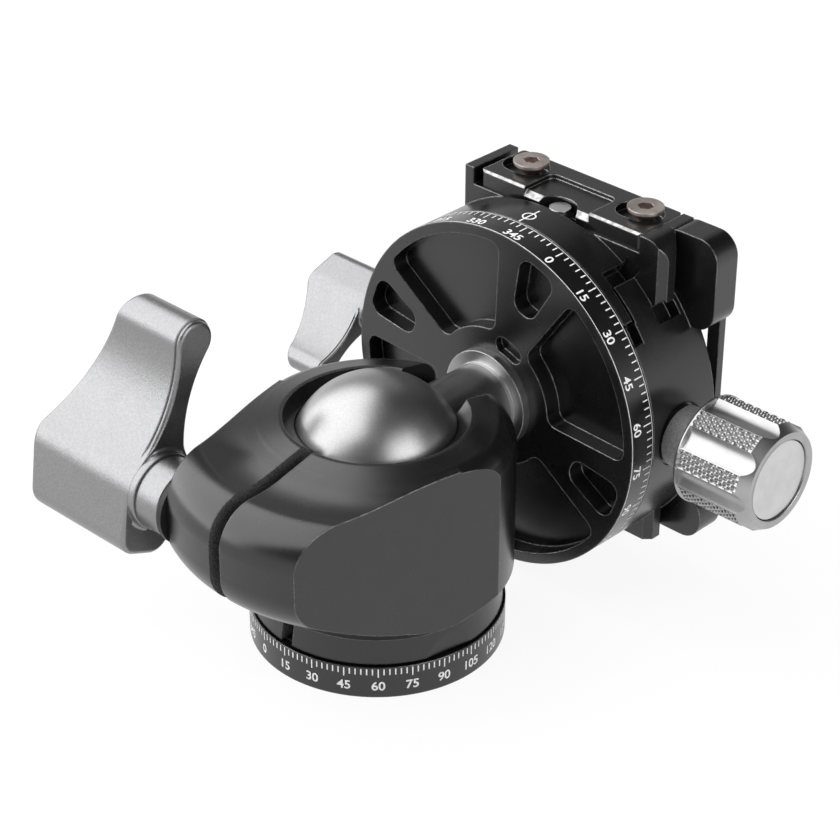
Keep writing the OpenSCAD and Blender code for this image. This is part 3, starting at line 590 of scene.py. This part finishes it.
def collar_mesh(length):
    """Round collar and boss behind the wing, with a fillet where the wing's inner face has room."""
    edge = [p - WING_LIP_ROUND / 2 * n for p, n in wing_half()]
    edge += [Vector((-p.x, p.y)) for p in edge]
    ways = [Vector(point) for point in circle(COLLAR_AROUND)]
    rooms = []
    for way in ways:
        near = [p.length for p in edge if p.normalized().dot(way) > SAME_WAY]
        rooms.append(max(0.0, min(BOSS_FILLET, min(near, default=WING_HUB_R) - BOSS_R)))
    bm = bmesh.new()

    def ring(radius, y, share=0.0):
        reach = [radius + share * room for room in rooms]
        return [bm.verts.new((r * way.x, y, r * way.y)) for r, way in zip(reach, ways)]

    rings = [ring(COLLAR_R + more, y - length) for more, y in COLLAR_FOOT]
    rings += [ring(COLLAR_R + more, y - BOSS_LEN) for more, y in COLLAR_GROOVE]
    rings += [ring(BOSS_R + more, y - BOSS_LEN) for more, y in BOSS_EDGE]
    rings += [ring(BOSS_R, (s - 1) * BOSS_FILLET + FILLET_SINK, 1 - c) for s, c in quarter()]
    rings += [ring(*place) for place in COLLAR_SINK]
    join_rings(bm, rings)
    bm.faces.new(rings[0])
    bm.faces.new(rings[-1])
    return to_mesh("collar", bm)


def bore_mesh(radius, low, high):
    """Round plug that is cut out of a lever for its stud."""
    bm = bmesh.new()
    around = circle(COLLAR_AROUND)
    rows = [[bm.verts.new((radius * c, y, radius * s)) for c, s in around] for y in (low, high)]
    join_rings(bm, rows)
    for row in rows:
        bm.faces.new(row)
    return to_mesh("bore", bm)


def add_lever(node, stud, lean, ratio):
    """A wing lever about the axis of its stud, which ends just short of the wing's middle."""
    stud_low, stud_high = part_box(stud)
    axis = (stud_low + stud_high) / 2
    unit = ratio * MM
    wing_y = stud_high.y + BORE_END - WING_LEN / 2 * unit
    collar = (wing_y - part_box(node)[0].y) / unit
    bore_r = ((stud_high.z - stud_low.z) / 2 + BORE_GAP) / unit
    mesh = joined(
        wing_mesh(), (collar_mesh(collar), "UNION"),
        (bore_mesh(bore_r, -collar - BORE_PAST, WING_LEN / 2), "DIFFERENCE"))
    place = Matrix.Translation((axis.x, wing_y, axis.z)) @ Matrix.Rotation(lean, 4, "Y")
    mesh.transform(place @ Matrix.Scale(unit, 4))
    mesh.name = node + "_shape"
    piece = add_piece(node + "_finished", mesh, MATERIALS[SLOT_OF[node]], BODY_OF[node], node)
    finish_normals(piece, WING_SHARP)


# Knurled knob, turned from a profile with flutes and diamond lands

KNOB_FLUTES = 8
KNOB_FLUTE_R = 3.6 * MM
KNOB_FLUTE_DEPTH = 0.9 * MM
KNOB_TURN = math.radians(8)
KNOB_RIM = 0.7 * MM
KNOB_EASE = 0.25 * MM
KNOB_NOSE_LEN, KNOB_NOSE_DROP = 2.0 * MM, 1.1 * MM
KNURL_COUNT = 56
KNURL_ALONG = 1.7 * MM
KNURL_DEPTH = 0.42 * MM
# Share of a diamond's height at which its top is cut flat
KNURL_TOP = 0.62
# Distances over which the knurl fades at the flutes, at the rim and at the nose
KNURL_FADE = (0.25 * MM, 0.4 * MM, 0.3 * MM)
NECK_R = 5.5 * MM
NECK_EASE = 0.3 * MM
NECK_FOOT = 0.6 * MM
# Pocket for the cap in the knob's end
CAP_GAP = 0.2 * MM
CAP_EASE = 0.15 * MM
CAP_POCKET = 1.7 * MM
KNOB_AROUND = 576
KNOB_ALONG = 96
KNOB_SHARP = math.radians(50)


def triangle_wave(t):
    """0 on whole numbers, 1 halfway between."""
    return 1 - abs(2 * (t - math.floor(t)) - 1)


def knob_radius(angle, along, radius):
    """Radius of the knob's side at an angle and a distance from its inner end."""
    before_nose = KNOB_LEN - KNOB_NOSE_LEN - along
    turned = radius
    if before_nose < 0:
        turned += KNOB_NOSE_DROP * before_nose / KNOB_NOSE_LEN
    if along < KNOB_RIM:
        return turned - KNOB_EASE * (1 - smooth(along / KNOB_RIM * 2))
    pitch = 2 * math.pi / KNOB_FLUTES
    off = (angle - KNOB_TURN + pitch / 2) % pitch - pitch / 2
    reach = radius + KNOB_FLUTE_R - KNOB_FLUTE_DEPTH
    room = KNOB_FLUTE_R ** 2 - (reach * math.sin(off)) ** 2
    fluted = reach * math.cos(off) - math.sqrt(room) if room > 0 else radius
    edge = math.acos((radius ** 2 + reach ** 2 - KNOB_FLUTE_R ** 2) / (2 * radius * reach))
    inside = ((abs(off) - edge) * radius, along - KNOB_RIM, before_nose)
    fade = math.prod(smooth(distance / full) for distance, full in zip(inside, KNURL_FADE))
    s = angle / (2 * math.pi) * KNURL_COUNT
    rise = along / KNURL_ALONG
    diamond = min(triangle_wave(s + rise), triangle_wave(s - rise))
    cut = KNURL_DEPTH * (1 - min(1.0, diamond / KNURL_TOP))
    return min(turned, fluted) - cut * fade


def knob_shape():
    """Neck, fluted side, and the end with the cap's pocket, in that order."""
    axis_x = (KNOB_LOW.x + KNOB_HIGH.x) / 2
    outer, inner = KNOB_LOW.y, KNOB_HIGH.y
    start = outer + KNOB_LEN
    radius = (KNOB_HIGH.z - KNOB_LOW.z) / 2
    nose_r = radius - KNOB_NOSE_DROP
    cap_r = (CAP_HIGH.x - CAP_LOW.x) / 2 + CAP_GAP
    neck = (
        (NECK_R - NECK_EASE, inner), (NECK_R, inner - NECK_EASE),
        (NECK_R, start + NECK_FOOT), (NECK_R + NECK_FOOT, start))
    end = (
        (nose_r - KNOB_EASE, outer), (cap_r + CAP_EASE, outer),
        (cap_r, outer + CAP_EASE), (cap_r, outer + CAP_POCKET))
    bm = bmesh.new()

    def ring(radius_at, y):
        verts = []
        for i in range(KNOB_AROUND):
            a = 2 * math.pi * i / KNOB_AROUND
            r = radius_at(a)
            verts.append(bm.verts.new((axis_x + r * math.cos(a), y, CENTRE.z + r * math.sin(a))))
        return verts

    rings = [ring(lambda a: r, y) for r, y in neck]
    for j in range(KNOB_ALONG + 1):
        along = KNOB_LEN * j / KNOB_ALONG
        rings.append(ring(lambda a: knob_radius(a, along, radius), start - along))
    rings += [ring(lambda a: r, y) for r, y in end]
    join_rings(bm, rings)
    bm.faces.new(list(reversed(rings[0])))
    bm.faces.new(rings[-1])
    return to_mesh("jaw_knob_shape", bm)


# Scales: ticks, lines and numbers laid on round surfaces

MARK_LIFT = 0.02 * MM
TICK_STEP = 2.5
TICK_HALF = 0.11 * MM
TICK_LEN = 1.2 * MM
NUMBER_STEP = 15
# Outline added to the font's strokes, as a share of the size
NUMBER_BOLD = 0.018
LINE_STEPS = 180


def on_base(angle, height):
    """A point on the base ring's side at a plan angle and a height."""
    r = BASE_R + MARK_LIFT
    return Vector((r * math.cos(angle), r * math.sin(angle), height))


def on_disc(angle, x):
    """A point on the disc's rim; angles count from -Y towards +Z."""
    r = DISC_R + MARK_LIFT
    return CENTRE + Vector((x, -r * math.cos(angle), r * math.sin(angle)))


# Places on a surface, its radius, the angle of 0, and +1 or -1 for the way that readings grow
BASE_SURFACE = (on_base, BASE_R, math.radians(165), 1)
DISC_SURFACE = (on_disc, DISC_R, math.radians(70), -1)


def patch(bm, place, angle, half_width, low, high, steps=1):
    """A mark between two angles and two distances along the surface."""
    rows = []
    for i in range(steps + 1):
        a = angle - half_width + 2 * half_width * i / steps
        rows.append((bm.verts.new(place(a, low)), bm.verts.new(place(a, high))))
    for (a0, a1), (b0, b1) in zip(rows, rows[1:]):
        bm.faces.new((a0, b0, b1, a1))


def number_mesh(text, size):
    """Outline of a number, centred on its middle."""
    curve = bpy.data.curves.new("number", "FONT")
    curve.body = text
    curve.size = size
    curve.align_x = "CENTER"
    curve.align_y = "CENTER"
    curve.offset = size * NUMBER_BOLD
    holder = bpy.data.objects.new("number", curve)
    bpy.context.scene.collection.objects.link(holder)
    graph = bpy.context.evaluated_depsgraph_get()
    mesh = bpy.data.meshes.new_from_object(holder.evaluated_get(graph))
    bpy.data.objects.remove(holder)
    bpy.data.curves.remove(curve)
    return mesh


def write_number(bm, surface, reading, middle, size):
    """A number at its own reading on a round surface."""
    place, radius, zero, turn = surface
    angle = zero + turn * math.radians(reading)
    mesh = number_mesh(str(reading), size)
    verts = [bm.verts.new(place(angle + turn * v.co.x / radius, middle + v.co.y)) for v in mesh.vertices]
    for face in mesh.polygons:
        bm.faces.new([verts[i] for i in face.vertices])
    bpy.data.meshes.remove(mesh)


def finish_marks(name, bm, body):
    add_piece(name, to_mesh(name, bm), SCALE_WHITE, body)


def scale_ring(name, body, surface, tick_edge, long_tick, number_at, number_size, lines=()):
    """A full scale: ticks down from one edge, numbers at the long ones, and lines all round."""
    place, radius, zero, turn = surface
    bm = bmesh.new()
    for i in range(round(360 / TICK_STEP)):
        reading = i * TICK_STEP
        reach = TICK_LEN if reading % NUMBER_STEP else long_tick
        angle = zero + turn * math.radians(reading)
        patch(bm, place, angle, TICK_HALF / radius, tick_edge, tick_edge - reach)
    for reading in range(0, 360, NUMBER_STEP):
        write_number(bm, surface, reading, number_at, number_size)
    for low, high in lines:
        patch(bm, place, 0, math.pi, low, high, LINE_STEPS)
    finish_marks(name, bm, body)


INDEX_ANGLE = math.radians(89.5)
INDEX_MIDDLE = BODY_FACE + 2.7 * MM
INDEX_LINE = (BODY_FACE + 0.1 * MM, BODY_FACE + 5.4 * MM)
INDEX_LINE_HALF = 0.13 * MM
INDEX_RING = (1.0 * MM, 1.26 * MM)
INDEX_AROUND = 40


def index_mark():
    """Circle crossed by a line, on the round body above the disc's scale."""
    bm = bmesh.new()
    patch(bm, on_disc, INDEX_ANGLE, INDEX_LINE_HALF / DISC_R, *INDEX_LINE)
    loops = [
        [on_disc(INDEX_ANGLE + r * c / DISC_R, INDEX_MIDDLE + r * s) for c, s in circle(INDEX_AROUND)]
        for r in INDEX_RING]
    join_rings(bm, [[bm.verts.new(point) for point in loop] for loop in loops])
    finish_marks("index_mark", bm, "clamp")


# Pieces
scale_ring(
    "base_scale", "base", BASE_SURFACE, tick_edge=BASE_HIGH.z - 0.25 * MM, long_tick=1.7 * MM,
    number_at=BASE_LOW.z + 2.2 * MM, number_size=2.4 * MM)
scale_ring(
    "disc_scale", "stem", DISC_SURFACE, tick_edge=DISC_HIGH.x - 0.35 * MM, long_tick=1.9 * MM,
    number_at=DISC_LOW.x + 1.45 * MM, number_size=2.5 * MM, lines=(
        (DISC_LOW.x + 0.02 * MM, DISC_LOW.x + 0.14 * MM),
        (DISC_HIGH.x - 0.16 * MM, DISC_HIGH.x - 0.04 * MM)))
index_mark()
add_lever("ball_lock_lever", "ball_lock_stud", lean=math.radians(22), ratio=1.0)
add_lever("pan_lock_lever", "pan_lock_screw", lean=math.radians(236), ratio=0.57)
knob = add_piece("jaw_knob_finished", knob_shape(), knob_steel(), "knob", "jaw_knob")
finish_normals(knob, KNOB_SHARP)

for name, node in NODES.items():
    if not node.hide_render:
        node.data.materials.clear()
        node.data.materials.append(OWN_MATERIALS.get(name, MATERIALS[SLOT_OF[name]]))


# Stage, light and camera

FLOOR_R = 4.0
FLOOR_SIDES = 96
FLOOR_LIT = 0.8
# What the floor shows to the camera: its own white, and the little that takes the object's shadow
FLOOR_GLOW, FLOOR_SHADE = 0.9, 0.10
WORLD_FILL = 0.35
# Brightness of the world by the height of a direction
WORLD_STOPS = ((0.06, grey(1)), (0.28, grey(0.24)), (0.56, grey(0.05)))
# Area lights: direction to the camera's right, up and back, then distance, size and radiance
LIGHTS = {
    "key": ((-0.73, 0.64, 0.20), 0.6, 1.0, 2.9),
    "second": ((0.62, 0.06, 0.78), 0.6, 0.46, 2.7),
    "back": ((0, 0.85, -0.52), 0.8, 0.6, 0.3),
}


def seen_rays(tree):
    """1 for rays that show the background: from the camera, or off metal and through glass."""
    path = add(tree, "LightPath").outputs
    first = maths(tree, "MAXIMUM", path["Is Camera Ray"], path["Is Glossy Ray"])
    return maths(tree, "MAXIMUM", first, path["Is Transmission Ray"])


def choose_by_ray(tree, lighting, shown, output):
    """One shader for rays that light the object, another for rays that show the background."""
    choose = add(tree, "MixShader")
    tree.links.new(seen_rays(tree), choose.inputs["Fac"])
    tree.links.new(lighting.outputs[0], choose.inputs[1])
    tree.links.new(shown.outputs[0], choose.inputs[2])
    tree.links.new(choose.outputs[0], tree.nodes[output].inputs["Surface"])


def make_floor():
    """Round white floor that keeps the object's shadow."""
    bm = bmesh.new()
    bmesh.ops.create_circle(bm, cap_ends=True, segments=FLOOR_SIDES, radius=FLOOR_R)
    mesh = bpy.data.meshes.new("floor")
    bm.to_mesh(mesh)
    bm.free()
    floor = bpy.data.objects.new("floor", mesh)
    bpy.context.scene.collection.objects.link(floor)
    material = bpy.data.materials.new("floor")
    material.use_nodes = True
    tree = material.node_tree
    tree.nodes.remove(tree.nodes["Principled BSDF"])
    matte = add(tree, "BsdfDiffuse", Color=(*grey(FLOOR_LIT), 1))
    glow = add(tree, "Emission", Color=(1, 1, 1, 1), Strength=FLOOR_GLOW)
    shade = add(tree, "BsdfDiffuse", Color=(*grey(FLOOR_SHADE), 1))
    shown = add(tree, "AddShader")
    tree.links.new(glow.outputs[0], shown.inputs[0])
    tree.links.new(shade.outputs[0], shown.inputs[1])
    choose_by_ray(tree, matte, shown, "Material Output")
    mesh.materials.append(material)


def make_world():
    """White at the horizon, falling to grey overhead, and an even fill for matte surfaces."""
    world = bpy.data.worlds.new("studio")
    bpy.context.scene.world = world
    world.use_nodes = True
    tree = world.node_tree
    fill = add(tree, "Background", Color=(1, 1, 1, 1), Strength=WORLD_FILL)
    shown = add(tree, "Background", Strength=1.0)
    sky = colour_ramp(tree, coordinate(tree, "Z", "Generated"), WORLD_STOPS)
    tree.links.new(sky, shown.inputs["Color"])
    choose_by_ray(tree, fill, shown, "World Output")


def make_camera():
    """The camera, and its directions to the right, up and back before its roll."""
    back = Vector((
        math.sin(CAMERA_AZIMUTH) * math.cos(CAMERA_ELEVATION),
        -math.cos(CAMERA_AZIMUTH) * math.cos(CAMERA_ELEVATION),
        math.sin(CAMERA_ELEVATION)))
    right = Vector((math.cos(CAMERA_AZIMUTH), math.sin(CAMERA_AZIMUTH), 0))
    up = back.cross(right)
    rolled_right = right * math.cos(CAMERA_ROLL) + up * math.sin(CAMERA_ROLL)
    rolled_up = back.cross(rolled_right)
    data = bpy.data.cameras.new("camera")
    data.sensor_width = CAMERA_SENSOR
    data.lens = CAMERA_LENS
    data.clip_start = CAMERA_CLIP
    camera = bpy.data.objects.new("camera", data)
    bpy.context.scene.collection.objects.link(camera)
    turn = Matrix((rolled_right, rolled_up, back)).transposed().to_4x4()
    camera.matrix_world = Matrix.Translation(CAMERA_TARGET + back * CAMERA_DISTANCE) @ turn
    bpy.context.scene.camera = camera
    return right, up, back


def add_softbox(name, axes, direction, distance, size, radiance):
    """A square area light that faces the object."""
    data = bpy.data.lights.new(name, "AREA")
    data.shape = "SQUARE"
    data.size = size
    data.energy = radiance * math.pi * size ** 2
    light = bpy.data.objects.new(name, data)
    bpy.context.scene.collection.objects.link(light)
    aim = sum((share * axis for share, axis in zip(direction, axes)), Vector()).normalized()
    light.location = CAMERA_TARGET + aim * distance
    light.rotation_euler = aim.to_track_quat("Z", "Y").to_euler()
    light.visible_camera = False


camera_axes = make_camera()
for name, values in LIGHTS.items():
    add_softbox(name, camera_axes, *values)
make_floor()
make_world()
bpy.context.scene.view_settings.view_transform = "Standard"
